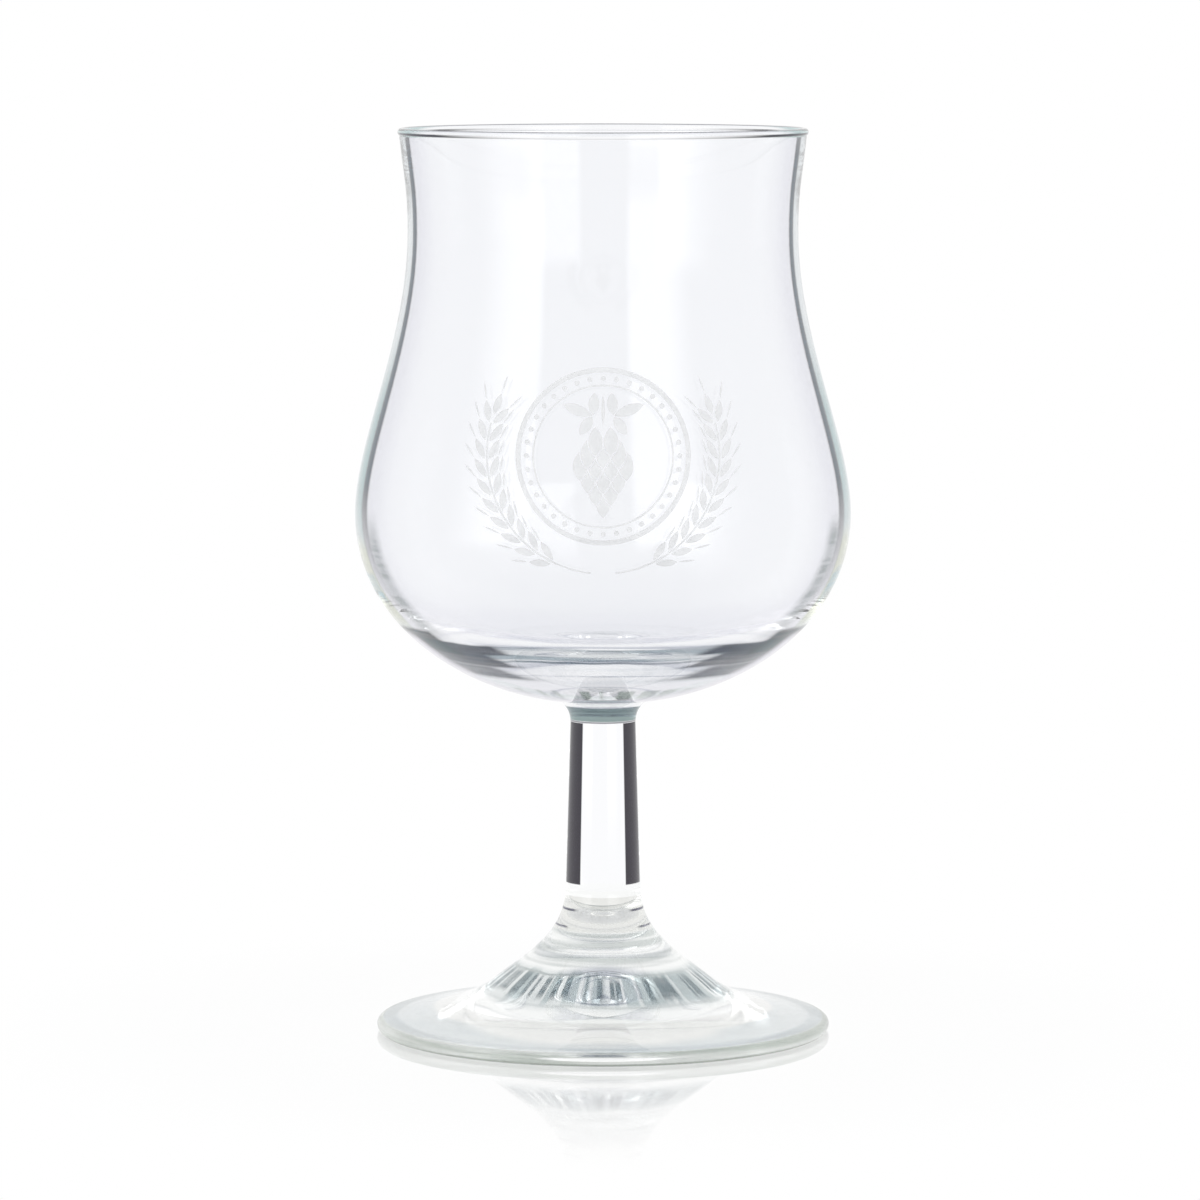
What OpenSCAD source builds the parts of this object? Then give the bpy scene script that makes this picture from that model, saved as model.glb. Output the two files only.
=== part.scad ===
// Tulip beer glass: a bowl, a collar, a solid stem and a flared foot, fused one on
// the other, with a frosted design fired on to the front of the bowl.
// Millimetres. +Z is up along the axis of the glass, the origin is the middle of the
// ring that it stands on, and the front of the bowl faces -Y.

/* [Foot] */
// Height of the foot, from the table to its joint with the stem
foot_h = 24; // [20:0.5:30]
// Diameter of the foot
foot_d = 75.4; // [66:0.2:90]
// Thickness of the rounded edge of the foot
foot_edge = 2.2; // [1.6:0.1:3]
// Diameter at which the bell of the foot runs into the disc
bell_d = 37.8; // [28:0.2:46]
// Height at which the bell of the foot runs into the disc
bell_h = 7.8; // [6.4:0.2:10]
// Width of the flat ring that the foot stands on
ring_w = 2.4; // [1:0.1:5]
// Height of the hollow under the foot
hollow_h = 8; // [1:0.1:9]

/* [Stem] */
// Length of the stem between its two joints
stem_h = 27.8; // [15:0.2:60]
// Diameter of the stem where it meets the collar
stem_top_d = 10.9; // [8:0.1:14]
// Diameter of the stem where it meets the foot
stem_low_d = 12.5; // [9:0.1:16]

/* [Collar] */
// Height of the collar between the stem and the bowl
collar_h = 3.7; // [2:0.1:8]
// Diameter of the collar where it meets the bowl
collar_d = 16.8; // [15:0.1:22]

/* [Bowl] */
// Height of the bowl, from the collar to the brim
bowl_h = 94.5; // [84:0.5:120]
// Diameter of the bowl at its widest place
belly_d = 82.1; // [76:0.1:100]
// Height of the widest place above the collar
belly_h = 30.9; // [26:0.1:36]
// Diameter of the bowl at its narrow neck
neck_d = 64.4; // [56:0.1:72]
// Height of the neck above the collar
neck_h = 77.5; // [70:0.5:81]
// Diameter of the bowl just under the brim
rim_d = 67.1; // [58:0.1:76]
// How far the fire-polished bead of the brim stands out past the wall under it
bead_out = 0.3; // [0.1:0.05:0.5]
// How far the bead of the brim stands in past the wall under it
bead_in = 0.1; // [0.05:0.05:0.3]

/* [Wall] */
// Thickness of the wall under the bead
rim_wall = 0.9; // [0.6:0.05:1.2]
// Thickness of the wall at the neck
neck_wall = 1.4; // [0.8:0.05:2.4]
// Thickness of the wall at the widest place
belly_wall = 1.8; // [1:0.05:3]
// Thickness of the glass at the bottom of the bowl
base_wall = 6.5; // [4:0.1:10]

/* [Frosted design] */
// Height of the middle of the design above the collar
print_mid_h = 43.2; // [34:0.2:52]
// Thickness of the fired frost
print_t = 0.12; // [0.06:0.01:0.3]
// Clearance between the frost and the glass that it is fired on to
print_gap = 0.02; // [0.01:0.01:0.05]
// Radius of the outer line of the roundel
roundel_r = 14; // [10:0.1:15]
// Width of the outer line of the roundel
roundel_line = 0.8; // [0.4:0.05:1.2]
// Radius of the fine inner line of the roundel
inner_line_r = 11.3; // [8:0.1:12]
// Width of the fine inner line and of the stalks
fine_line = 0.3; // [0.2:0.05:0.5]
// Radius of a bead in the border of the roundel
pearl_r = 0.42; // [0.2:0.02:0.7]
// Number of beads in the border of the roundel
pearls = 36; // [8:1:48]
// Radius of the curve that each barley stalk follows round the roundel
ear_r = 18.6; // [17.6:0.1:22]
// Length of a grain of barley
grain_l = 3.5; // [2.4:0.1:4]
// Width of a grain of barley
grain_w = 1.15; // [0.8:0.05:1.3]
// Number of pairs of grains in an ear
grain_pairs = 10; // [4:1:11]
// Length of an awn, the bristle past each grain
awn_l = 2.8; // [1:0.1:3.2]
// Length of a scale of the hop cone
scale_l = 4.6; // [3.6:0.1:5]
// Width of a scale of the hop cone
scale_w = 2.3; // [1.6:0.05:2.5]
// Length of the middle lobe of a hop leaf
lobe_l = 5; // [3:0.1:5.2]
// Width of the lobes of a hop leaf
lobe_w = 1.75; // [1:0.05:1.9]
// Clear line between neighbouring pieces of the frost
print_break = 0.15; // [0.1:0.05:0.3]

/* [Hidden] */
// Fineness of the round shapes
$fn = 128;
// Points per curve of an outline
steps = 18;
// Points per quarter turn of a rounded edge
turn_steps = 5;

// Places along the axis
stem_z = foot_h;
collar_z = stem_z + stem_h;
bowl_z = collar_z + collar_h;
brim_z = bowl_z + bowl_h;
belly_z = bowl_z + belly_h;
neck_z = bowl_z + neck_h;
print_z = bowl_z + print_mid_h;
bead = rim_wall + bead_out + bead_in;
under_bead_z = brim_z - bead;

// Handles of the curves, as shares of the step across and the step up between the
// two ends of each curve, from its first end
rim_shares = [[0.51, 0.43], [1, 0.55]];
waist_shares = [[0, 0.38], [1, 0.74]];
base_shares = [[0, 0.6], [0.56, 0.95]];
inner_base_shares = [[0, 0.78], [0.36, 1]];
collar_shares = [[0.62, 0.12], [1, 0.5]];
bell_shares = [[0, 0.52], [0.62, 0.74]];
disc_shares = [[0.3, 0.64], [0.65, 0.88]];
hollow_shares = [[0.25, 0], [0.55, 0.75]];

// Number of scales in each row of the hop cone, from the top
hop_rows = [2, 3, 4, 3, 2, 1];
// Step from row to row of the hop cone, as a share of a scale's length
hop_row_share = 0.42;
// Top of the hop cone above the middle of the design, as a share of that step
hop_top_share = 2.4;
// Length of a side lobe of a hop leaf, as a share of the middle one
side_lobe_share = 0.7;
// Where a hop leaf starts, as shares of a step of the cone and of a lobe's width
leaf_place_shares = [0.66, 1];
// Angle between the lobes of a hop leaf
lobe_turn = 74;
// Angle of a hop leaf from the upright
leaf_turn = 70;
// Step from one pair of grains to the next, as a share of a grain's length
grain_step_share = 0.82;
// Angle of the grains from their stalk
grain_turn = 22;
// Angle at which a barley stalk starts, and the one at which its first grains sit
stalk_low_turn = -84;
ear_low_turn = -64;

// The handles of a curve from one end to the other
function handles(a, b, shares) = [
    a,
    [for (i = [0, 1]) a[i] + shares[0][i] * (b[i] - a[i])],
    [for (i = [0, 1]) a[i] + shares[1][i] * (b[i] - a[i])],
    b
];

// A point on the curve with four handles
function on_curve(p, t) =
    pow(1 - t, 3) * p[0] + 3 * pow(1 - t, 2) * t * p[1]
    + 3 * (1 - t) * pow(t, 2) * p[2] + pow(t, 3) * p[3];

// The points of a curve, without the last one, where the next curve starts
function curve(a, b, shares) =
    let (p = handles(a, b, shares))
    [for (i = [0 : steps - 1]) on_curve(p, i / steps)];

// The points of an arc round a centre, from one angle to another
function arc(centre, radius, from, to) =
    let (n = ceil(abs(to - from) / 90 * turn_steps))
    [for (i = [0 : n])
        let (a = from + (to - from) * i / n)
        centre + radius * [cos(a), sin(a)]];

// The same points from the last to the first
function backwards(points) = [for (i = [len(points) - 1 : -1 : 0]) points[i]];

// Ends of the curves of the bowl: radius, height
rim_end = [rim_d / 2, under_bead_z];
neck_end = [neck_d / 2, neck_z];
belly_end = [belly_d / 2, belly_z];
seat_end = [collar_d / 2, bowl_z];
inner_rim_end = rim_end - [rim_wall, 0];
inner_neck_end = neck_end - [neck_wall, 0];
inner_belly_end = belly_end - [belly_wall, 0];
inner_base_end = [0, bowl_z + base_wall];

// The middle of the bead, and where its circle meets the two sides of the wall
bead_r = bead / 2;
bead_mid = [rim_d / 2 + bead_out - bead_r, brim_z - bead_r];
outer_bead_turn = acos((bead_r - bead_out) / bead_r);
inner_bead_turn = acos((bead_r - bead_in) / bead_r);

// The two sides of the wall, from under the bead down to the base
outer_wall = concat(
    curve(rim_end, neck_end, rim_shares),
    curve(neck_end, belly_end, waist_shares),
    curve(belly_end, seat_end, base_shares),
    [seat_end]);
inner_wall = concat(
    curve(inner_rim_end, inner_neck_end, rim_shares),
    curve(inner_neck_end, inner_belly_end, waist_shares),
    curve(inner_belly_end, inner_base_end, inner_base_shares),
    [inner_base_end]);

// Steps of the hop cone across and down, and its top above the middle of the design
hop_pitch = scale_w + print_break;
hop_row_step = hop_row_share * scale_l;
hop_top = hop_top_share * hop_row_step;

glass_colour = [0.82, 0.88, 0.9, 0.5];
frost_colour = [0.93, 0.94, 0.95];

// The foot: a bell that flares into a disc with a rounded edge, hollow underneath
module foot() {
    edge_mid = [(foot_d - foot_edge) / 2, foot_edge / 2];
    ring_end = [edge_mid[0] - ring_w, 0];
    bell_end = [bell_d / 2, bell_h];
    stem_end = [stem_low_d / 2, foot_h];
    outline = concat(
        curve([0, hollow_h], ring_end, hollow_shares),
        [ring_end],
        arc(edge_mid, foot_edge / 2, -90, 90),
        backwards(concat(
            curve(stem_end, bell_end, bell_shares),
            curve(bell_end, edge_mid + [0, foot_edge / 2], disc_shares))),
        [[0, foot_h]]);
    color(glass_colour) rotate_extrude() polygon(outline);
}

// The stem: a solid round rod, a little thicker at the foot
module stem() {
    color(glass_colour)
        translate([0, 0, stem_z])
            cylinder(h = stem_h, d1 = stem_low_d, d2 = stem_top_d);
}

// The collar: a small flared button between the stem and the bowl
module collar() {
    outline = concat(
        curve([collar_d / 2, bowl_z], [stem_top_d / 2, collar_z], collar_shares),
        [[stem_top_d / 2, collar_z], [0, collar_z], [0, bowl_z]]);
    color(glass_colour) rotate_extrude() polygon(outline);
}

// The bowl: a thick base and a wall that thins up to the brim, round a real inside
module bowl() {
    outline = concat(
        backwards(outer_wall),
        arc(bead_mid, bead_r, -outer_bead_turn, 180 + inner_bead_turn),
        inner_wall,
        [[0, bowl_z]]);
    color(glass_colour) rotate_extrude() polygon(outline);
}

// A thin skin on the outside of the bowl, higher than the design
module print_skin() {
    reach = ear_r + grain_l + awn_l;
    band = [for (p = outer_wall) if (abs(p[1] - print_z) < reach) p];
    rotate_extrude()
        polygon(concat(
            [for (p = band) p + [print_gap, 0]],
            [for (p = backwards(band)) p + [print_gap + print_t, 0]]));
}

// A flat drawing, laid on the front of the bowl
module on_front() {
    color(frost_colour)
        intersection() {
            print_skin();
            translate([0, 0, print_z])
                rotate([90, 0, 0])
                    linear_extrude(belly_d)
                        children();
        }
}

// A flat ring by its outer radius and its width
module ring(radius, width) {
    difference() {
        circle(radius);
        circle(radius - width);
    }
}

// Radius of the two arcs that a pointed oval is made of
function oval_side_r(length, width) = (length * length + width * width) / (4 * width);

// A pointed oval that stands on the middle of the drawing and points up
module pointed_oval(length, width) {
    side_r = oval_side_r(length, width);
    translate([0, length / 2])
        intersection_for (side = [-1, 1])
            translate([side * (side_r - width / 2), 0])
                circle(side_r);
}

// The roundel: a broad line and a fine line, with a row of beads between them
module print_roundel() {
    pearl_row_r = (roundel_r - roundel_line + inner_line_r) / 2;
    on_front() {
        ring(roundel_r, roundel_line);
        ring(inner_line_r, fine_line);
        for (i = [0 : pearls - 1])
            rotate(360 * i / pearls)
                translate([pearl_row_r, 0])
                    circle(pearl_r);
    }
}

// A hop cone of pointed scales, each tucked under the row above, and two leaves
module print_hop() {
    on_front() {
        for (row = [0 : len(hop_rows) - 1])
            for (i = [0 : hop_rows[row] - 1])
                hop_scale(row, i - (hop_rows[row] - 1) / 2);
        translate([0, hop_top + print_break])
            pointed_oval(lobe_l, fine_line * 2);
        for (side = [0, 1])
            mirror([side, 0])
                translate([
                    leaf_place_shares[0] * hop_pitch,
                    hop_top + leaf_place_shares[1] * lobe_w
                ])
                    rotate(-leaf_turn)
                        hop_leaf();
    }
}

// One scale of the hop cone, so many steps across, less what the row above covers
module hop_scale(row, across) {
    translate([across * hop_pitch, hop_top - scale_l - row * hop_row_step])
        difference() {
            pointed_oval(scale_l, scale_w);
            if (row > 0)
                for (side = [-1, 1])
                    if (abs(across + side / 2) < hop_rows[row - 1] / 2)
                        translate([side * hop_pitch / 2, hop_row_step - print_break])
                            pointed_oval(
                                scale_l + 2 * print_break,
                                scale_w + 2 * print_break);
        }
}

// A leaf of three lobes that starts at the middle of the drawing
module hop_leaf() {
    for (i = [-1 : 1])
        rotate(i * lobe_turn)
            translate([0, print_break])
                pointed_oval(i == 0 ? lobe_l : side_lobe_share * lobe_l, lobe_w);
}

// A grain of barley with its awn, clear of the stalk on one side of it
module grain(side, turn) {
    inward_turn = max(0, 2 * atan(grain_w / grain_l) - turn);
    inward = oval_side_r(grain_l, grain_w) * (1 - cos(inward_turn));
    translate([side * (fine_line / 2 + print_break + inward), 0])
        rotate(-side * turn)
            grain_and_awn();
}

// A grain with its awn past the tip, pointing up
module grain_and_awn() {
    pointed_oval(grain_l, grain_w);
    translate([0, grain_l + print_break])
        pointed_oval(awn_l, fine_line);
}

// An ear of barley that curves up round the right side of the roundel
module barley_ear() {
    pair_turn = grain_step_share * grain_l / ear_r * 180 / PI;
    stalk_high_turn = ear_low_turn + pair_turn * (grain_pairs - 1);
    for (i = [0 : grain_pairs - 1])
        rotate(ear_low_turn + pair_turn * i)
            translate([ear_r, 0]) {
                grain(1, grain_turn);
                grain(-1, grain_turn + pair_turn);
            }
    rotate(stalk_high_turn + pair_turn / 2)
        translate([ear_r, 0])
            grain_and_awn();
    intersection() {
        ring(ear_r + fine_line / 2, fine_line);
        polygon([
            [0, 0],
            for (i = [0 : 2])
                let (turn = stalk_low_turn + (stalk_high_turn - stalk_low_turn) * i / 2)
                2 * ear_r * [cos(turn), sin(turn)]
        ]);
    }
}

// The ear on the left of the roundel, the mirror image of the right one
module print_left_barley() {
    on_front() mirror([1, 0]) barley_ear();
}

// The ear on the right of the roundel
module print_right_barley() {
    on_front() barley_ear();
}

foot();
stem();
collar();
bowl();
print_roundel();
print_hop();
print_left_barley();
print_right_barley();
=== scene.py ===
"""The looks of a tulip beer glass: clear glass turned on its axis, with a frosted design."""

import logging
import math
from dataclasses import dataclass
from enum import Enum

import bpy
import numpy as np
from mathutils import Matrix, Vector


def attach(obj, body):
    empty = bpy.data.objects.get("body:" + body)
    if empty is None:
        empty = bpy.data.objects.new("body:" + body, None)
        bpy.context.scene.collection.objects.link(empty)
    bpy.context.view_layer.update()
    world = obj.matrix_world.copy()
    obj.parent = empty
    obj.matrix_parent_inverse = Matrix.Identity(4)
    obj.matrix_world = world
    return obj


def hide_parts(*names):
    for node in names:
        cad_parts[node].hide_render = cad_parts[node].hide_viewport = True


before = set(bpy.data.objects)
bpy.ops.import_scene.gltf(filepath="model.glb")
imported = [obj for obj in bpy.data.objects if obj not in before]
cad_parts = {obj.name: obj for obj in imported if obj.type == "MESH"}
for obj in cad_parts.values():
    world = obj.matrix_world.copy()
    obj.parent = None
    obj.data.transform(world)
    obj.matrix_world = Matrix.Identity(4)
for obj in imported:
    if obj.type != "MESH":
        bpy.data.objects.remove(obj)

Point = tuple[float, float]
Shares = tuple[Point, Point]
Place = tuple[float, float, float]
Colour = tuple[float, float, float]
Band = tuple[float, float, float]
Panel = tuple[float, float, float, float]

MM = 0.001
WHITE = (1.0, 1.0, 1.0)
# A sum of yes-or-no sockets eases from no to yes between these.
YES = (0.4, 0.6)
LOG = logging.getLogger("tulip_glass")


class Slot(Enum):
    """A material slot of the record, which no piece in this script takes."""

    GLASS = "clear_glass"


@dataclass(frozen=True)
class Pattern:
    """Noise on a piece's own coordinates.

    Attributes:
        scale: How many waves there are in a metre.
        detail: How many finer layers there are.
        stretch: Scale along each axis.
    """

    scale: float
    detail: float
    stretch: Place = (1, 1, 1)


SLANT_DRIFT = Pattern(110.0, 2.0)
HEIGHT_WANDER = Pattern(70.0, 2.0, (1, 1, 0.2))
LEVEL_STREAKS = Pattern(60.0, 3.0, (0.5, 0.5, 14.0))
SOFT_WAVES = Pattern(60.0, 1.0, (1, 1, 0.35))
LEVEL_RIPPLES = Pattern(60.0, 1.0, (0.5, 0.5, 8.0))
FINE_GRAIN = Pattern(5200.0, 2.0)
THIN_CLOUD = Pattern(420.0, 2.0)


class Value:
    """A socket of a node tree, which takes part in sums as a number does."""

    def __init__(self, graph: "Graph", socket: bpy.types.NodeSocket) -> None:
        """Wraps a socket of a graph."""
        self.graph = graph
        self.socket = socket

    def sum_with(self, operation: str, *others: "float | Value") -> "Value":
        """Works out a Math node.

        Args:
            operation: The Math node's operation.
            others: The terms after this one.

        Returns:
            The node's result.
        """
        terms = {i: term for i, term in enumerate((self, *others))}
        return self.graph.node("ShaderNodeMath", {"operation": operation}, terms)

    def __add__(self, other: "float | Value") -> "Value":
        """Returns this plus the other."""
        return self.sum_with("ADD", other)

    def __radd__(self, other: float) -> "Value":
        """Returns the other plus this."""
        return self.sum_with("ADD", other)

    def __sub__(self, other: "float | Value") -> "Value":
        """Returns this less the other."""
        return self.sum_with("SUBTRACT", other)

    def __rsub__(self, other: float) -> "Value":
        """Returns the other less this."""
        return (self * -1.0) + other

    def __mul__(self, other: "float | Value") -> "Value":
        """Returns this times the other."""
        return self.sum_with("MULTIPLY", other)

    def __rmul__(self, other: float) -> "Value":
        """Returns the other times this."""
        return self.sum_with("MULTIPLY", other)

    def __truediv__(self, other: "float | Value") -> "Value":
        """Returns this over the other."""
        return self.sum_with("DIVIDE", other)

    def __pow__(self, other: float) -> "Value":
        """Returns this to the power of the other."""
        return self.sum_with("POWER", other)

    def rise(self, low: float, high: float) -> "Value":
        """Eases from 0 at one value to 1 at another.

        Args:
            low: The value that gives 0.
            high: The value that gives 1.

        Returns:
            The eased share, from 0 to 1.
        """
        return self.graph.node(
            "ShaderNodeMapRange",
            {"interpolation_type": "SMOOTHSTEP"},
            {"Value": self, "From Min": low, "From Max": high},
        )

    def band(self, low: float, high: float, soft: float) -> "Value":
        """Gives 1 between two values and 0 outside them, with soft ends.

        Args:
            low: The lower end of the band.
            high: The upper end of the band.
            soft: The width over which each end eases.

        Returns:
            The eased share, from 0 to 1.
        """
        return self.rise(low - soft / 2, low + soft / 2) * (
            1.0 - self.rise(high - soft / 2, high + soft / 2)
        )

    def blend(self, first: "Colour | Value", second: "Colour | Value") -> "Value":
        """Mixes two colours by this share.

        Args:
            first: The colour where this is 0.
            second: The colour where this is 1.

        Returns:
            The mixed colour.
        """
        return self.graph.node(
            "ShaderNodeMix",
            {"data_type": "RGBA"},
            {0: self, 6: first, 7: second},
            output=2,
        )


class Graph:
    """The node tree of a material or of the world."""

    def __init__(self, owner: "bpy.types.Material | bpy.types.World") -> None:
        """Empties the owner's node tree."""
        owner.use_nodes = True
        self.tree = owner.node_tree
        self.tree.nodes.clear()

    def node(
        self,
        kind: str,
        settings: "dict[str, object] | None" = None,
        inputs: "dict[int | str, object] | None" = None,
        output: "int | str" = 0,
    ) -> Value:
        """Adds a node, sets it and feeds its sockets.

        Args:
            kind: The node's type.
            settings: The node's own settings, by name, which are set first.
            inputs: Values or links, by the socket's name or place.
            output: The name or place of the socket to give back.

        Returns:
            The chosen output of the node.
        """
        made = self.tree.nodes.new(kind)
        for key, setting in (settings or {}).items():
            setattr(made, key, setting)
        for key, term in (inputs or {}).items():
            socket = made.inputs[key]
            if isinstance(term, Value):
                self.tree.links.new(term.socket, socket)
            elif isinstance(term, tuple) and len(term) == 3 and socket.type == "RGBA":
                socket.default_value = (*term, 1.0)
            else:
                socket.default_value = term
        return Value(self, made.outputs[output]) if made.outputs else Value(self, None)

    def place(self) -> "tuple[Value, Value, Value]":
        """Returns the object's own coordinates, in metres, apart."""
        point = self.node("ShaderNodeTexCoord", output="Object")
        return self.split(point)

    def split(self, vector: Value) -> "tuple[Value, Value, Value]":
        """Takes a vector apart.

        Args:
            vector: The vector.

        Returns:
            Its three parts.
        """
        apart = self.node("ShaderNodeSeparateXYZ", inputs={0: vector})
        return tuple(Value(self, s) for s in apart.socket.node.outputs)

    def noise(self, pattern: Pattern) -> Value:
        """Adds noise on the object's own coordinates.

        Args:
            pattern: Its scale, detail and stretch.

        Returns:
            The noise, from 0 to 1.
        """
        point = self.node("ShaderNodeTexCoord", output="Object")
        stretched = self.node(
            "ShaderNodeMapping", inputs={"Vector": point, "Scale": pattern.stretch})
        return self.node("ShaderNodeTexNoise", inputs={
            "Vector": stretched, "Scale": pattern.scale, "Detail": pattern.detail})

    def slant(self) -> Value:
        """Returns how far the sight slants, from 0, square on, to 1, grazing."""
        even = 0.5
        return self.node("ShaderNodeLayerWeight", inputs={"Blend": even}, output="Facing")

    def outward(self) -> Value:
        """Returns the way out from the axis, level and one unit long."""
        x, y, _ = self.place()
        flat = self.node("ShaderNodeCombineXYZ", inputs={0: x, 1: y, 2: 0.0})
        return self.node("ShaderNodeVectorMath", {"operation": "NORMALIZE"}, {0: flat})

    def finish(self, surface: Value) -> None:
        """Feeds the tree's output.

        Args:
            surface: The shader that the owner shows.
        """
        kind = "World" if isinstance(self.tree.id_data, bpy.types.World) else "Material"
        out = self.tree.nodes.new(f"ShaderNodeOutput{kind}")
        self.tree.links.new(surface.socket, out.inputs["Surface"])


@dataclass(frozen=True)
class PaintedShade:
    """Painted shade: the dark parts of the room that the curve of clear glass would bend or
    mirror, painted on as a tint, seen from the air side.

    A band is its low end, its high end and the width over which the ends ease.

    Attributes:
        tint: The colour of the painted shade, which stands for what is seen through the glass.
        slant: The band of slants in which it lies.
        heights: The band of heights in which it lies, in millimetres.
        wander: How far the heights sway either way, in millimetres.
        drift: How far the slants sway either way.
        streaks: The share of it that level streaks take away.
        bars: How close its painted upright bars of shade stand round the axis. With 0 it has
            none.
        streak_edge: The noise between which a streak eases in.
        bar_edge: The noise between which a bar eases in.
        bar_detail: How many finer layers the bars' noise has.
    """

    tint: Colour
    slant: "Band | None" = None
    heights: "Band | None" = None
    wander: float = 0.0
    drift: float = 0.0
    streaks: float = 0.0
    bars: float = 0.0
    streak_edge: Point = (0.4, 0.6)
    bar_edge: Point = (0.46, 0.54)
    bar_detail: float = 1.0

    def cover(self, graph: Graph) -> Value:
        """Works out where the painted shade lies.

        Args:
            graph: The material's tree.

        Returns:
            Its share, from 0 to 1.
        """
        share = 1.0 - graph.node("ShaderNodeNewGeometry", output="Backfacing")
        middle = 0.5
        if self.slant:
            sway = graph.noise(SLANT_DRIFT) - middle
            share = share * (graph.slant() + 2.0 * self.drift * sway).band(*self.slant)
        if self.heights:
            _, _, up = graph.place()
            sway = graph.noise(HEIGHT_WANDER) - middle
            share = share * (up / MM + 2.0 * self.wander * sway).band(*self.heights)
        if self.streaks:
            lines = graph.noise(LEVEL_STREAKS).rise(*self.streak_edge)
            share = share * (1.0 - self.streaks * lines)
        if self.bars:
            rays = graph.node("ShaderNodeTexNoise", inputs={
                "Vector": graph.outward(), "Scale": self.bars, "Detail": self.bar_detail})
            share = share * rays.rise(*self.bar_edge)
        return share


def deep(tint: Colour) -> Colour:
    """Returns the colour of glass that shows a tint, of which each side takes the root."""
    return tuple(share * share for share in tint)


@dataclass(frozen=True)
class ClearGlass:
    """Fire-polished soda-lime glass, with painted shade of the room in bands over its own
    colour.

    Attributes:
        name: The material's name.
        clear: The colour of what is seen through it where no painted shade lies.
        painted_shades: Its bands of painted shade, each over the ones before.
        wave_height: How high its broad soft waves are, in metres.
        ripple_height: How high its level ripples are, in metres. With 0 it has none.
        ripple_heights: The band of heights in which the ripples lie, in millimetres.
        ior: How strongly it bends light.
        shadow: The colour of the light that falls through it.
    """

    name: str
    clear: Colour
    painted_shades: "tuple[PaintedShade, ...]" = ()
    wave_height: float = 0.00002
    ripple_height: float = 0.0
    ripple_heights: Band = (0, 0, 0)
    ior: float = 1.52
    shadow: Colour = (0.97, 0.975, 0.975)

    def make(self) -> bpy.types.Material:
        """Makes the glass.

        Returns:
            The material.
        """
        material = bpy.data.materials.new(self.name)
        graph = Graph(material)
        colour: "Colour | Value" = deep(self.clear)
        # Each band paints shade over the glass's colour where the room's dark parts would show
        # through it.
        for painted_shade in self.painted_shades:
            colour = painted_shade.cover(graph).blend(colour, deep(painted_shade.tint))
        waves = graph.noise(SOFT_WAVES) * self.wave_height
        if self.ripple_height:
            _, _, up = graph.place()
            rough = (up / MM).band(*self.ripple_heights) * self.ripple_height
            waves = waves + rough * graph.noise(LEVEL_RIPPLES)
        normal = graph.node(
            "ShaderNodeBump",
            inputs={"Height": waves * (1.0 / MM), "Strength": 1.0, "Distance": MM},
        )
        glass = graph.node(
            "ShaderNodeBsdfPrincipled",
            inputs={
                "Base Color": colour,
                "Roughness": 0.0,
                "IOR": self.ior,
                "Transmission Weight": 1.0,
                "Normal": normal,
            },
        )
        through = graph.node("ShaderNodeBsdfTransparent", inputs={"Color": self.shadow})
        for_shadow = graph.node("ShaderNodeLightPath", output="Is Shadow Ray")
        graph.finish(graph.node(
            "ShaderNodeMixShader", inputs={0: for_shadow, 1: glass, 2: through}))
        return material


@dataclass(frozen=True)
class FusedJoint:
    """The unseen face where two glass pieces are fused."""

    name: str

    def make(self) -> bpy.types.Material:
        """Makes the joint's face.

        Returns:
            The material.
        """
        material = bpy.data.materials.new(self.name)
        graph = Graph(material)
        graph.finish(graph.node("ShaderNodeBsdfTransparent", inputs={"Color": WHITE}))
        return material


@dataclass(frozen=True)
class FiredFrost:
    """Frosted white enamel, fired on to the glass.

    Attributes:
        name: The material's name.
        white: Its colour.
        cloud_shade: How bright its thin clouds are beside the rest.
        cloud_edge: The noise between which a cloud eases off.
        cover: How much of the glass it hides.
        cover_grain: The share of that in the grain's pits, and what its tops add.
        roughness: Its least roughness.
        grain_roughness: How much rougher the grain makes it.
        bump_strength: How strongly its grain shows.
        grain_height: How high its grain is, in metres.
        ior: How strongly it bends light.
    """

    name: str
    white: Colour = (0.93, 0.94, 0.95)
    cloud_shade: float = 0.95
    cloud_edge: Point = (0.35, 0.7)
    cover: float = 0.55
    cover_grain: Point = (0.8, 0.4)
    roughness: float = 0.62
    grain_roughness: float = 0.2
    bump_strength: float = 0.6
    grain_height: float = 0.00002
    ior: float = 1.5

    def make(self) -> bpy.types.Material:
        """Makes the frost.

        Returns:
            The material.
        """
        material = bpy.data.materials.new(self.name)
        graph = Graph(material)
        grain = graph.noise(FINE_GRAIN)
        clear_of_cloud = graph.noise(THIN_CLOUD).rise(*self.cloud_edge)
        colour = clear_of_cloud.blend(
            tuple(self.cloud_shade * c for c in self.white), self.white)
        least, more = self.cover_grain
        normal = graph.node("ShaderNodeBump", inputs={
            "Height": grain, "Strength": self.bump_strength, "Distance": self.grain_height})
        enamel = graph.node(
            "ShaderNodeBsdfPrincipled",
            inputs={
                "Base Color": colour,
                "Roughness": self.roughness + self.grain_roughness * grain,
                "IOR": self.ior,
                "Alpha": self.cover * (least + more * grain),
                "Normal": normal,
            },
        )
        graph.finish(enamel)
        return material


def curve(start: Point, end: Point, shares: Shares, steps: int) -> "list[Point]":
    """Draws a cubic curve of an outline.

    Args:
        start: Radius and height of its first end, in millimetres.
        end: Radius and height of its last end.
        shares: Its two handles, as shares of the step across and the step up.
        steps: How many points it gets.

    Returns:
        Its points, without the last one.
    """
    first, second = (
        tuple(start[i] + share[i] * (end[i] - start[i]) for i in (0, 1)) for share in shares
    )
    points = []
    for step in range(steps):
        t = step / steps
        weights = ((1 - t) ** 3, 3 * (1 - t) ** 2 * t, 3 * (1 - t) * t**2, t**3)
        points.append(tuple(
            sum(w * p[i] for w, p in zip(weights, (start, first, second, end)))
            for i in (0, 1)))
    return points


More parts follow.
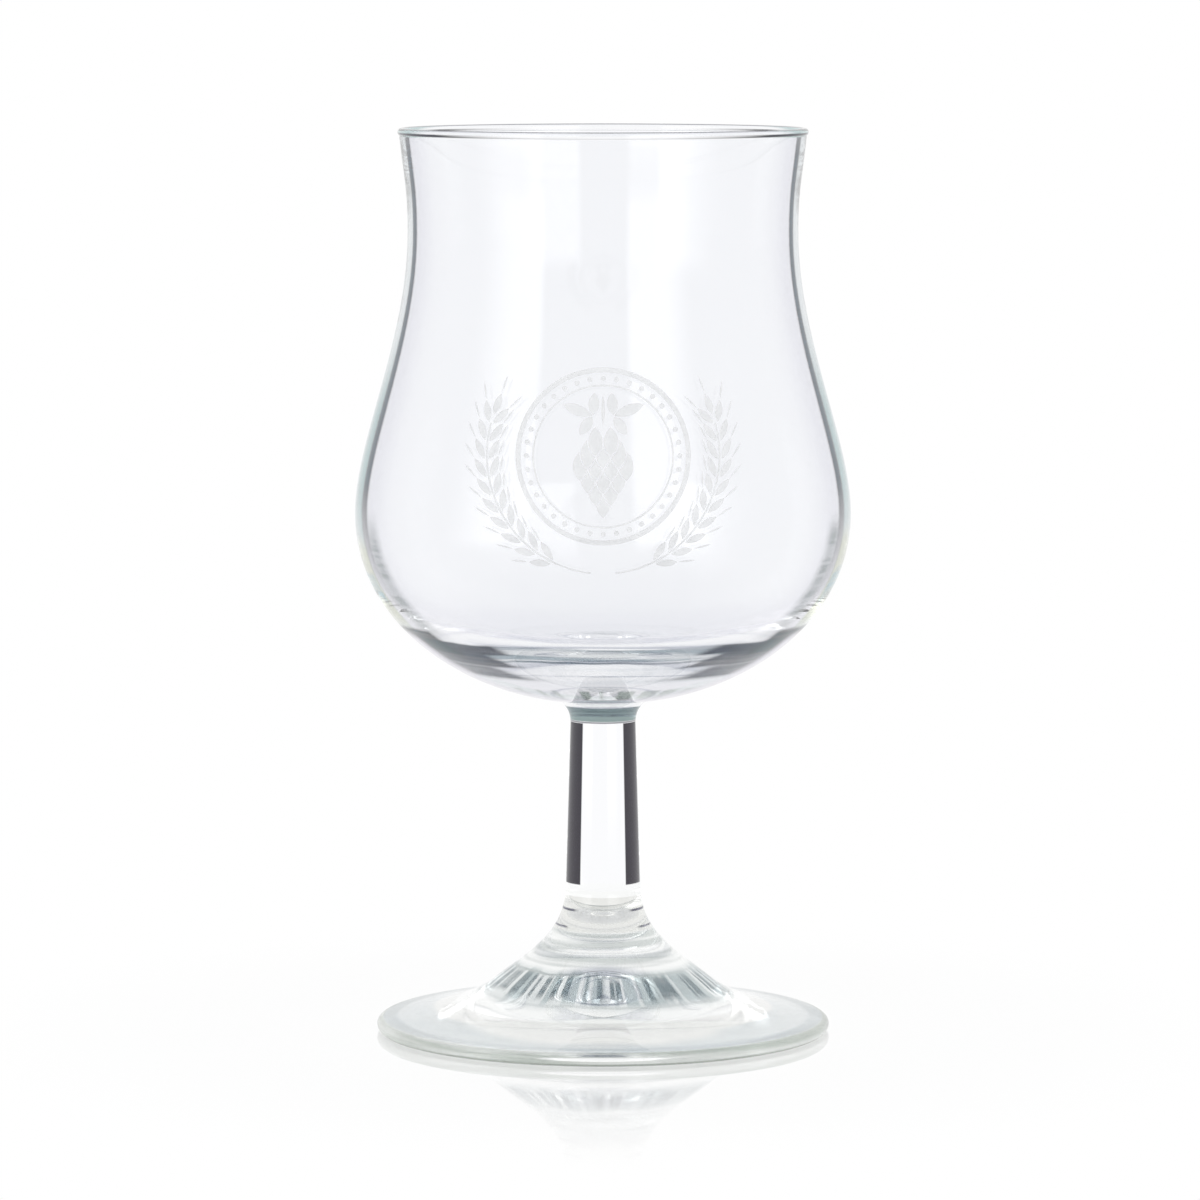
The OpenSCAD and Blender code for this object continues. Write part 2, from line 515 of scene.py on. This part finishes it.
def arc(middle: Point, radius: float, turn: "tuple[float, float]", steps: int) -> "list[Point]":
    """Draws an arc of an outline.

    Args:
        middle: Radius and height of its middle, in millimetres.
        radius: Its radius.
        turn: The angles of its two ends, in degrees.
        steps: How many steps it is made in.

    Returns:
        Its points, with both ends.
    """
    angles = [math.radians(turn[0] + (turn[1] - turn[0]) * i / steps) for i in range(steps + 1)]
    return [(middle[0] + radius * math.cos(a), middle[1] + radius * math.sin(a)) for a in angles]


class Zone(Enum):
    """The parts of a turned surface that have a finish of their own."""

    JOINT = "joint"
    OUTSIDE = "outside"
    INSIDE = "inside"
    BEAD = "bead"
    EDGE = "edge"
    UNDERSIDE = "underside"


Stretch = tuple[Zone, "list[Point]"]


@dataclass
class TurnedGlass:
    """A piece of glass that is turned about the axis, from its outline.

    Attributes:
        name: The piece's name.
        around: How many faces go round it.
        doublings: How often the sector that is turned first is doubled to close the ring.
        weld: How near two points are that become one, in metres.
    """

    name: str
    around: int = 384
    doublings: int = 3
    weld: float = 1e-7

    def outline(self) -> "list[Stretch]":
        """Returns the stretches of the outline, each from the last one's end."""
        raise NotImplementedError

    def build(self) -> bpy.types.Object:
        """Draws the outline, turns it about the axis and closes it.

        Returns:
            The piece.
        """
        points = [(r * MM, z * MM) for _, stretch in self.outline() for r, z in stretch]
        bpy.ops.object.select_all(action="DESELECT")
        bpy.ops.mesh.primitive_plane_add(size=MM, location=(points[0][0], 0, points[0][1]))
        piece = bpy.context.object
        piece.name = piece.data.name = self.name
        bpy.ops.object.transform_apply(location=True, rotation=True, scale=True)
        bpy.ops.object.mode_set(mode="EDIT")
        bpy.ops.mesh.select_mode(type="VERT")
        bpy.ops.mesh.merge(type="CENTER")
        for (r0, z0), (r1, z1) in zip(points, points[1:]):
            bpy.ops.mesh.extrude_vertices_move(
                TRANSFORM_OT_translate={"value": (r1 - r0, 0, z1 - z0)})
        bpy.ops.mesh.select_all(action="SELECT")
        sectors = 2**self.doublings
        turned = 2 * math.pi / sectors
        bpy.ops.mesh.spin(
            steps=self.around // sectors, angle=turned, center=(0, 0, 0), axis=(0, 0, 1))
        for _ in range(self.doublings):
            bpy.ops.mesh.select_all(action="SELECT")
            bpy.ops.mesh.duplicate()
            bpy.ops.transform.rotate(value=turned, orient_axis="Z", center_override=(0, 0, 0))
            turned *= 2
        bpy.ops.mesh.select_all(action="SELECT")
        bpy.ops.mesh.remove_doubles(threshold=self.weld)
        bpy.ops.mesh.normals_make_consistent(inside=False)
        bpy.ops.mesh.select_all(action="DESELECT")
        bpy.ops.object.mode_set(mode="OBJECT")
        bpy.ops.object.shade_smooth()
        return piece

    def dress(self, piece: bpy.types.Object,
              finishes: "dict[Zone, bpy.types.Material]") -> None:
        """Gives each zone of the piece its finish, and sharp rings round its joints.

        Args:
            piece: The piece.
            finishes: The finish of each zone.
        """
        zones = [zone for zone, stretch in self.outline() for _ in stretch]
        used = list(dict.fromkeys(zones))
        for zone in used:
            piece.data.materials.append(finishes[zone])
        points = np.array([p for _, stretch in self.outline() for p in stretch]) * MM
        middles = (points[1:] + points[:-1]) / 2
        places = np.array([used.index(zone) for zone in zones[1:]])
        faces = piece.data.polygons
        spots = np.empty(len(faces) * 3)
        faces.foreach_get("center", spots)
        spots = spots.reshape(-1, 3)
        spots = np.column_stack([np.hypot(spots[:, 0], spots[:, 1]), spots[:, 2]])
        nearest = [int(((middles - spot) ** 2).sum(1).argmin()) for spot in spots]
        faces.foreach_set("material_index", places[nearest].astype(np.int32))
        if Zone.JOINT in used:
            joint = places[nearest] == used.index(Zone.JOINT)
            faces.foreach_set("select", joint)
            bpy.ops.object.mode_set(mode="EDIT")
            bpy.ops.mesh.select_mode(type="FACE")
            bpy.ops.mesh.region_to_loop()
            bpy.ops.mesh.mark_sharp()
            bpy.ops.mesh.select_all(action="DESELECT")
            bpy.ops.object.mode_set(mode="OBJECT")
        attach(piece, "root")
        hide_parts(self.name.removesuffix("_glass"))


@dataclass
class Foot(TurnedGlass):
    """The foot: a bell that flares into a disc, hollow underneath."""

    name: str = "foot_glass"
    height: float = 24.0
    diameter: float = 75.4
    edge: float = 2.2
    bell: Point = (18.9, 7.8)
    ring_width: float = 2.4
    hollow: float = 8.0
    neck_radius: float = 6.25
    bell_shares: Shares = ((0, 0.52), (0.62, 0.74))
    disc_shares: Shares = ((0.3, 0.64), (0.65, 0.88))
    hollow_shares: Shares = ((0.25, 0), (0.55, 0.75))
    bell_steps: int = 40
    disc_steps: int = 30
    hollow_steps: int = 34
    edge_steps: int = 20

    def outline(self) -> "list[Stretch]":
        """Returns the outline, from the middle of the hollow to the middle of the joint."""
        edge_middle = ((self.diameter - self.edge) / 2, self.edge / 2)
        ring_end = (edge_middle[0] - self.ring_width, 0.0)
        disc_end = (edge_middle[0], self.edge)
        bell_top = (self.neck_radius, self.height)
        bell = curve(bell_top, self.bell, self.bell_shares, self.bell_steps)
        disc = curve(self.bell, disc_end, self.disc_shares, self.disc_steps)
        hollow = curve((0, self.hollow), ring_end, self.hollow_shares, self.hollow_steps)
        return [
            (Zone.UNDERSIDE, [*hollow, ring_end]),
            (Zone.EDGE, arc(edge_middle, self.edge / 2, (-90, 90), self.edge_steps)),
            (Zone.OUTSIDE, [*reversed(bell + disc)]),
            (Zone.JOINT, [(0.0, self.height)]),
        ]


@dataclass
class Stem(TurnedGlass):
    """The stem: a solid round rod, a little thicker at the foot."""

    name: str = "stem_glass"
    low: Point = (6.25, 24.0)
    top: Point = (5.45, 51.8)
    rings: int = 16

    def outline(self) -> "list[Stretch]":
        """Returns the outline, from the middle of the lower joint to that of the upper."""
        side = [
            tuple(a + (b - a) * i / self.rings for a, b in zip(self.low, self.top))
            for i in range(1, self.rings + 1)
        ]
        return [
            (Zone.JOINT, [(0.0, self.low[1]), self.low]),
            (Zone.OUTSIDE, side),
            (Zone.JOINT, [(0.0, self.top[1])]),
        ]


@dataclass
class Collar(TurnedGlass):
    """The collar: a small flared button between the stem and the bowl."""

    name: str = "collar_glass"
    top: Point = (8.4, 55.5)
    low: Point = (5.45, 51.8)
    side_shares: Shares = ((0.62, 0.12), (1, 0.5))
    side_steps: int = 30

    def outline(self) -> "list[Stretch]":
        """Returns the outline, from the middle of the upper joint to that of the lower."""
        side = curve(self.top, self.low, self.side_shares, self.side_steps)
        return [
            (Zone.JOINT, [(0.0, self.top[1]), self.top]),
            (Zone.OUTSIDE, [*side[1:], self.low]),
            (Zone.JOINT, [(0.0, self.low[1])]),
        ]


@dataclass
class Bowl(TurnedGlass):
    """The bowl: a thick base and a wall that thins up to a fire-polished brim."""

    name: str = "bowl_glass"
    seat: Point = (8.4, 55.5)
    belly: Point = (41.05, 86.4)
    neck: Point = (32.2, 133.0)
    rim: Point = (33.55, 148.7)
    inside_bottom: float = 62.0
    walls: "tuple[float, float, float]" = (0.9, 1.4, 1.8)
    bead_radius: float = 0.65
    bead_out: float = 0.3
    bead_in: float = 0.1
    rim_shares: Shares = ((0.51, 0.43), (1, 0.55))
    waist_shares: Shares = ((0, 0.38), (1, 0.74))
    base_shares: Shares = ((0, 0.6), (0.56, 0.95))
    inside_base_shares: Shares = ((0, 0.78), (0.36, 1))
    rim_steps: int = 16
    waist_steps: int = 32
    base_steps: int = 36
    bead_steps: int = 22

    def side(self, inwards: "tuple[float, float, float]", bottom: Point,
             shares: Shares) -> "list[Point]":
        """Draws one side of the wall, from under the bead to its bottom.

        Args:
            inwards: How far the side lies in from the outside at rim, neck and belly.
            bottom: Where it ends.
            shares: The handles of its lowest curve.

        Returns:
            Its points.
        """
        rim, neck, belly = (
            (p[0] - d, p[1]) for p, d in zip((self.rim, self.neck, self.belly), inwards)
        )
        return [
            *curve(rim, neck, self.rim_shares, self.rim_steps),
            *curve(neck, belly, self.waist_shares, self.waist_steps),
            *curve(belly, bottom, shares, self.base_steps),
            bottom,
        ]

    def outline(self) -> "list[Stretch]":
        """Returns the outline, from the joint up the outside and down the inside."""
        r = self.bead_radius
        turns = (
            -math.degrees(math.acos((r - self.bead_out) / r)),
            180 + math.degrees(math.acos((r - self.bead_in) / r)),
        )
        middle = (self.rim[0] + self.bead_out - r, self.rim[1] + r)
        outside = self.side((0, 0, 0), self.seat, self.base_shares)
        inside = self.side(self.walls, (0.0, self.inside_bottom), self.inside_base_shares)
        return [
            (Zone.JOINT, [(0.0, self.seat[1]), self.seat]),
            (Zone.OUTSIDE, [*reversed(outside)][1:]),
            (Zone.BEAD, arc(middle, r, turns, self.bead_steps)),
            (Zone.INSIDE, inside),
        ]


@dataclass
class FrostedDesign:
    """The frosted roundel, hop and barley on the front of the bowl."""

    nodes: "tuple[str, ...]" = (
        "print_roundel", "print_hop", "print_left_barley", "print_right_barley")

    def dress(self, frost: bpy.types.Material) -> None:
        """Gives each solid of the design its finish.

        Args:
            frost: The finish.
        """
        for name in self.nodes:
            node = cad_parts[name]
            node.data.materials.clear()
            node.data.materials.append(frost)
            LOG.info("%s: %d faces", name, len(node.data.polygons))


@dataclass
class Studio:
    """The table top, the lamps, the white room and the camera.

    Lengths are in metres. A panel is the angles, in degrees from the front, between
    which it eases in and those between which it eases out.

    Attributes:
        floor_radius: How far the table top reaches.
        floor_corners: How many corners it has.
        floor_drop: How far it lies under the glass.
        floor_colour: The colour of its matt face.
        floor_glow: How much of it shines evenly close to the glass.
        floor_fade: Where the rest of the shine comes in.
        mirror: How strongly it mirrors close to the glass.
        mirror_reach: Where the mirroring goes out.
        mirror_roughness: How rough the mirroring is.
        room_level: How bright the room's light is.
        ceiling: The colour that reflections get from above.
        ceiling_rise: The upward shares between which the ceiling comes in.
        left_panel: The white panel to the left, in reflections alone.
        right_panel: The white panel to the right.
        panel_level: How much brighter than the room the panels are.
        panel_top: The upward shares between which the panels end.
        panel_start: How far out the floor begins to carry them.
        lamp_turn: How far the lamps stand to either side, in degrees.
        lamp_size: Their width and height.
        lamp_level: How bright their faces are.
        lamp_distance: How far from the axis they stand.
        lamp_height: How high their middles are.
        lamp_aim: The point on the axis that they face.
        lens: The camera's focal length, in millimetres.
        sensor: Its sensor's width, in millimetres.
        reach: How far the camera sees.
        camera_place: Where the camera stands.
        camera_aim: The point it looks at.
        bounces: How often light may bounce or be bent.
        clear_bounces: How often it may pass clear faces.
    """

    floor_radius: float = 3.0
    floor_corners: int = 96
    floor_drop: float = 0.00005
    floor_colour: Colour = (0.93, 0.93, 0.935)
    floor_glow: float = 0.88
    floor_fade: Point = (0.045, 0.12)
    mirror: float = 0.45
    mirror_reach: Point = (0.04, 0.13)
    mirror_roughness: float = 0.03
    room_level: float = 0.8
    ceiling: Colour = (0.55, 0.57, 0.63)
    ceiling_rise: Point = (0.45, 0.95)
    left_panel: Panel = (33.0, 38.0, 50.0, 80.0)
    right_panel: Panel = (12.0, 17.0, 35.0, 55.0)
    panel_level: float = 1.1
    panel_top: Point = (0.4, 0.8)
    panel_start: Point = (0.3, 0.6)
    lamp_turn: float = 38.0
    lamp_size: Point = (0.4, 1.1)
    lamp_level: float = 1.6
    lamp_distance: float = 1.2
    lamp_height: float = 0.35
    lamp_aim: Place = (0, 0, 0.1)
    lens: float = 183.6
    sensor: float = 36.0
    reach: float = 50.0
    camera_place: Place = (-0.0005, -1.010, 0.1726)
    camera_aim: Place = (-0.0005, 0, 0.0719)
    bounces: int = 128
    clear_bounces: int = 32

    def panels(self, x: Value, y: Value) -> Value:
        """Works out how much of the two white panels lies that way.

        Args:
            x: How far it lies to the right.
            y: How far it lies to the back.

        Returns:
            The share, from 0 to 1.
        """
        turn = x.sum_with("ARCTAN2", y * -1.0) * math.degrees(1.0)
        left, right = (
            way.rise(*ends[:2]) * (1.0 - way.rise(*ends[2:]))
            for way, ends in ((turn * -1.0, self.left_panel), (turn, self.right_panel)))
        return left + right

    def build_floor(self) -> None:
        """Makes the table top, which mirrors the foot a little and fades into white."""
        bpy.ops.object.select_all(action="DESELECT")
        bpy.ops.mesh.primitive_circle_add(
            vertices=self.floor_corners, radius=self.floor_radius, fill_type="NGON",
            location=(0, 0, -self.floor_drop))
        floor = bpy.context.object
        floor.name = floor.data.name = "table_top"
        bpy.ops.object.transform_apply(location=True, rotation=True, scale=True)
        floor.data.materials.append(self.floor_finish())

    def floor_finish(self) -> bpy.types.Material:
        """Makes the table top's finish.

        Returns:
            The material.
        """
        material = bpy.data.materials.new("white_table")
        graph = Graph(material)
        x, y, _ = graph.place()
        out = (x * x + y * y) ** 0.5
        near = 1.0 - out.rise(*self.mirror_reach)
        matt = graph.node("ShaderNodeBsdfDiffuse", inputs={"Color": self.floor_colour})
        path = graph.node("ShaderNodeLightPath").socket.node.outputs
        bright = self.panels(x, y) * out.rise(*self.panel_start)
        bright = bright * Value(graph, path["Is Glossy Ray"])
        glow = graph.node("ShaderNodeEmission", inputs={
            "Color": WHITE, "Strength": 1.0 + self.panel_level * bright})
        seen = Value(graph, path["Is Camera Ray"]) + Value(graph, path["Is Glossy Ray"])
        seen = seen + Value(graph, path["Is Transmission Ray"])
        share = self.floor_glow + (1.0 - self.floor_glow) * out.rise(*self.floor_fade)
        lit = graph.node(
            "ShaderNodeMixShader", inputs={0: seen.rise(*YES) * share, 1: matt, 2: glow})
        gloss = graph.node("ShaderNodeBsdfGlossy", inputs={
            "Color": WHITE, "Roughness": self.mirror_roughness})
        graph.finish(graph.node(
            "ShaderNodeMixShader", inputs={0: near * self.mirror, 1: lit, 2: gloss}))
        return material

    def build_room(self) -> None:
        """Makes the white room, which the glass shows."""
        world = bpy.data.worlds.new("white_room")
        bpy.context.scene.world = world
        graph = Graph(world)
        path = graph.node("ShaderNodeLightPath").socket.node.outputs
        seen = Value(graph, path["Is Camera Ray"])
        shown = Value(graph, path["Is Glossy Ray"]) + Value(graph, path["Is Transmission Ray"])
        x, y, up = graph.split(graph.node("ShaderNodeTexCoord", output="Generated"))
        wall = up.rise(*self.ceiling_rise).blend(WHITE, self.ceiling)
        bright = self.panels(x, y) * (1.0 - up.rise(*self.panel_top))
        level = 1.0 + self.panel_level * bright * Value(graph, path["Is Glossy Ray"])
        light, shown_wall, white = (
            graph.node("ShaderNodeBackground", inputs={"Color": colour, "Strength": strength})
            for colour, strength in ((WHITE, self.room_level), (wall, level), (WHITE, 1.0)))
        mixed = graph.node(
            "ShaderNodeMixShader", inputs={0: shown.rise(*YES), 1: light, 2: shown_wall})
        graph.finish(graph.node("ShaderNodeMixShader", inputs={0: seen, 1: mixed, 2: white}))

    def add_lamp(self, name: str, turn: float) -> None:
        """Adds a tall soft lamp at the front.

        Args:
            name: The lamp's name.
            turn: Its angle from the camera's side, in degrees.
        """
        data = bpy.data.lights.new(name, "AREA")
        data.shape = "RECTANGLE"
        data.size, data.size_y = self.lamp_size
        data.energy = self.lamp_level * math.pi * self.lamp_size[0] * self.lamp_size[1]
        lamp = bpy.data.objects.new(name, data)
        bpy.context.scene.collection.objects.link(lamp)
        angle = math.radians(turn)
        lamp.location = (
            self.lamp_distance * math.sin(angle),
            -self.lamp_distance * math.cos(angle),
            self.lamp_height,
        )
        aim = Vector(self.lamp_aim) - lamp.location
        lamp.rotation_euler = aim.to_track_quat("-Z", "Y").to_euler()
        lamp.visible_glossy = lamp.visible_transmission = False

    def build_camera(self) -> None:
        """Sets the camera where the photograph was taken from."""
        data = bpy.data.cameras.new("camera")
        data.lens = self.lens
        data.sensor_width = self.sensor
        data.clip_end = self.reach
        camera = bpy.data.objects.new("camera", data)
        bpy.context.scene.collection.objects.link(camera)
        camera.location = self.camera_place
        aim = Vector(self.camera_aim) - camera.location
        camera.rotation_euler = aim.to_track_quat("-Z", "Y").to_euler()
        bpy.context.scene.camera = camera

    def build(self) -> None:
        """Sets up all of the studio."""
        self.build_floor()
        self.build_room()
        self.add_lamp("left_lamp", -self.lamp_turn)
        self.add_lamp("right_lamp", self.lamp_turn)
        self.build_camera()
        scene = bpy.context.scene
        scene.view_settings.view_transform = "Standard"
        scene.cycles.max_bounces = self.bounces
        scene.cycles.transmission_bounces = self.bounces
        scene.cycles.glossy_bounces = self.bounces
        scene.cycles.transparent_max_bounces = self.clear_bounces


CLEAR = (0.975, 0.978, 0.986)
PALE_GREEN = (0.98, 0.985, 0.98)
JOINT = FusedJoint("fused_joint")
# Painted shade and painted reflection: every tint in the bowl's finishes paints dark parts of
# the room that the glass would bend or mirror, as dark sides by slant, dark lines, slate patches
# and upright bars in the thick base, the brim's dark lines and grey at the inside's grazing
# slant.
BOWL_FINISHES = {
    Zone.JOINT: JOINT,
    Zone.OUTSIDE: ClearGlass("bowl_outside", CLEAR, (
        PaintedShade((0.8, 0.8, 0.84), slant=(0.62, 1.2, 0.35)),
        PaintedShade((0.68, 0.72, 0.74), slant=(0.76, 1.2, 0.02)),
        PaintedShade((0.33, 0.46, 0.47), slant=(0.76, 1.2, 0.03), heights=(84, 112, 20), wander=6),
        PaintedShade((0.58, 0.6, 0.5), slant=(0.76, 1.2, 0.03), heights=(69, 83, 4), wander=5),
        PaintedShade((0.28, 0.42, 0.46), slant=(0.78, 1.2, 0.04), heights=(73, 77.5, 1), wander=4,
             streaks=0.4),
        PaintedShade((0.4, 0.43, 0.43), slant=(0.6, 0.7, 0.08), heights=(68.5, 86, 5), wander=1,
             streaks=0.3),
        PaintedShade((0.04, 0.07, 0.1), slant=(0.69, 0.77, 0.03), heights=(78, 160, 30)),
        PaintedShade((0.45, 0.53, 0.56), slant=(0.9, 1.2, 0.03), heights=(84, 160, 10)),
        PaintedShade((0.36, 0.42, 0.46), heights=(64.9, 67.2, 0.3), wander=0.6, streaks=0.5),
        PaintedShade((0.8, 0.82, 0.85), heights=(59.4, 64.6, 0.3), wander=0.5, streaks=0.9),
        PaintedShade((0.25, 0.3, 0.34), heights=(64.4, 64.8, 0.2), wander=0.7, streaks=0.3),
        PaintedShade((0.3, 0.35, 0.45), heights=(61.9, 62.1, 0.15), wander=0.5, streaks=0.5),
        PaintedShade((0.45, 0.5, 0.48), heights=(56.3, 59, 0.5), bars=9),
        PaintedShade((0.05, 0.07, 0.1), slant=(0.49, 1.2, 0.04), heights=(65.6, 67.3, 0.5),
             wander=0.6, drift=0.04, streaks=0.035),
        PaintedShade((0.05, 0.07, 0.1), slant=(0.56, 1.2, 0.04), heights=(63.4, 65.8, 0.5),
             wander=0.6, drift=0.04, streaks=0.035),
        PaintedShade((0.09, 0.11, 0.14), slant=(0.64, 1.2, 0.06), heights=(61, 63.6, 1),
             wander=0.6, drift=0.04, streaks=0.05),
        PaintedShade((0.01, 0.045, 0.06), slant=(0.66, 1.2, 0.05), heights=(65, 68.8, 0.8),
             wander=0.8, drift=0.03, streaks=0.03),
        PaintedShade((0.68, 0.66, 0.73), slant=(0.84, 1.2, 0.1), heights=(50, 67, 2)),
    ), ripple_height=0.00001, ripple_heights=(56, 68, 3)),
    Zone.BEAD: ClearGlass("brim_bead", CLEAR, (
        PaintedShade((0.5, 0.63, 0.63), slant=(0.6, 1.2, 0.2)),
        PaintedShade((0.01, 0.01, 0.03), slant=(0.25, 1.2, 0.4), heights=(148.9, 149.35, 0.15)),
        PaintedShade((0.3, 0.3, 0.33), heights=(149.85, 150.2, 0.1)),
    )),
    Zone.INSIDE: ClearGlass("bowl_inside", CLEAR, (
        PaintedShade((0.9, 0.9, 0.93), slant=(0.6, 1.2, 0.4)),
    ), ripple_height=0.00003, ripple_heights=(50, 71, 3)),
}
# Painted shade: the collar's dark rings, where its curve would show the dark parts of the room.
COLLAR_FINISHES = {
    Zone.JOINT: JOINT,
    Zone.OUTSIDE: ClearGlass("collar_side", PALE_GREEN, (
        PaintedShade((0.26, 0.34, 0.34), heights=(52.1, 54.5, 0.2), wander=0.1),
        PaintedShade((0.18, 0.23, 0.25), heights=(52.9, 53.3, 0.2), wander=0.4, streaks=0.6),
        PaintedShade((0.3, 0.3, 0.33), heights=(51.85, 52.1, 0.1)),
    )),
}
# Painted shade: the stem's dark sides by slant, where the rod would show the dark parts of the
# room.
STEM_FINISHES = {
    Zone.JOINT: JOINT,
    Zone.OUTSIDE: ClearGlass("stem_side", (0.985, 0.987, 0.995), (
        PaintedShade((0.03, 0.026, 0.038), slant=(0.21, 0.83, 0.02), heights=(24.9, 60, 0.2)),
    )),
}
# Painted shade and painted reflection: the foot's bands, rings and upright bars, where the stem
# and the room would show through and mirror in the glass, and its edge darkened by slant and
# along its bottom.
FOOT_FINISHES = {
    Zone.JOINT: JOINT,
    Zone.OUTSIDE: ClearGlass("foot_top", PALE_GREEN, (
        PaintedShade((0.84, 0.84, 0.82), heights=(17.3, 22.9, 0.2)),
        PaintedShade((0.15, 0.15, 0.2), slant=(0.25, 1.2, 0.15), heights=(20.45, 20.85, 0.15)),
        PaintedShade((0.25, 0.25, 0.3), slant=(0.36, 1.2, 0.1), heights=(17.8, 18.1, 0.15)),
        PaintedShade((0.66, 0.69, 0.68), heights=(12.2, 17.3, 0.4), wander=0.3, streaks=1.0),
        PaintedShade((0.78, 0.81, 0.81), heights=(6.3, 11.6, 1), wander=0.8),
        PaintedShade((0.5, 0.56, 0.57), heights=(6.9, 11.3, 1.2), wander=1.2, bars=7),
        PaintedShade((0.22, 0.27, 0.29), heights=(7.6, 10.8, 1.2), wander=1.6, streaks=0.12, bars=16),
        PaintedShade((0.5, 0.54, 0.54), heights=(10.9, 11.2, 0.15), wander=0.8, streaks=0.6),
        PaintedShade((0.55, 0.58, 0.58), heights=(6.6, 6.9, 0.15), wander=0.6, streaks=0.6),
        PaintedShade((0.86, 0.86, 0.85), heights=(2.35, 4.9, 0.2)),
        PaintedShade((0.66, 0.7, 0.72), slant=(0.67, 1.2, 0.06), heights=(2.15, 3.7, 0.3),
             wander=0.5, drift=0.02, streaks=0.2),
        PaintedShade((0.55, 0.6, 0.63), heights=(2.1, 2.5, 0.1), streaks=0.5),
    )),
    Zone.EDGE: ClearGlass("foot_edge", PALE_GREEN, (
        PaintedShade((0.5, 0.54, 0.5), slant=(0.04, 1.2, 0.03), streaks=0.3),
        PaintedShade((0.35, 0.38, 0.35), heights=(-1, 0.5, 0.2)),
    )),
    Zone.UNDERSIDE: ClearGlass("foot_underside", PALE_GREEN),
}


def main() -> None:
    """Builds the glass and its studio, piece by piece."""
    logging.basicConfig(level=logging.INFO, format="%(name)s: %(message)s")
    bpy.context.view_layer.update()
    for maker, finishes in (
        (Bowl(), BOWL_FINISHES), (Collar(), COLLAR_FINISHES),
        (Stem(), STEM_FINISHES), (Foot(), FOOT_FINISHES),
    ):
        piece = maker.build()
        maker.dress(piece, {zone: finish.make() for zone, finish in finishes.items()})
        LOG.info("%s: %d faces", piece.name, len(piece.data.polygons))
    FrostedDesign().dress(FiredFrost("fired_frost_white").make())
    Studio().build()


if __name__ == "__main__":
    main()
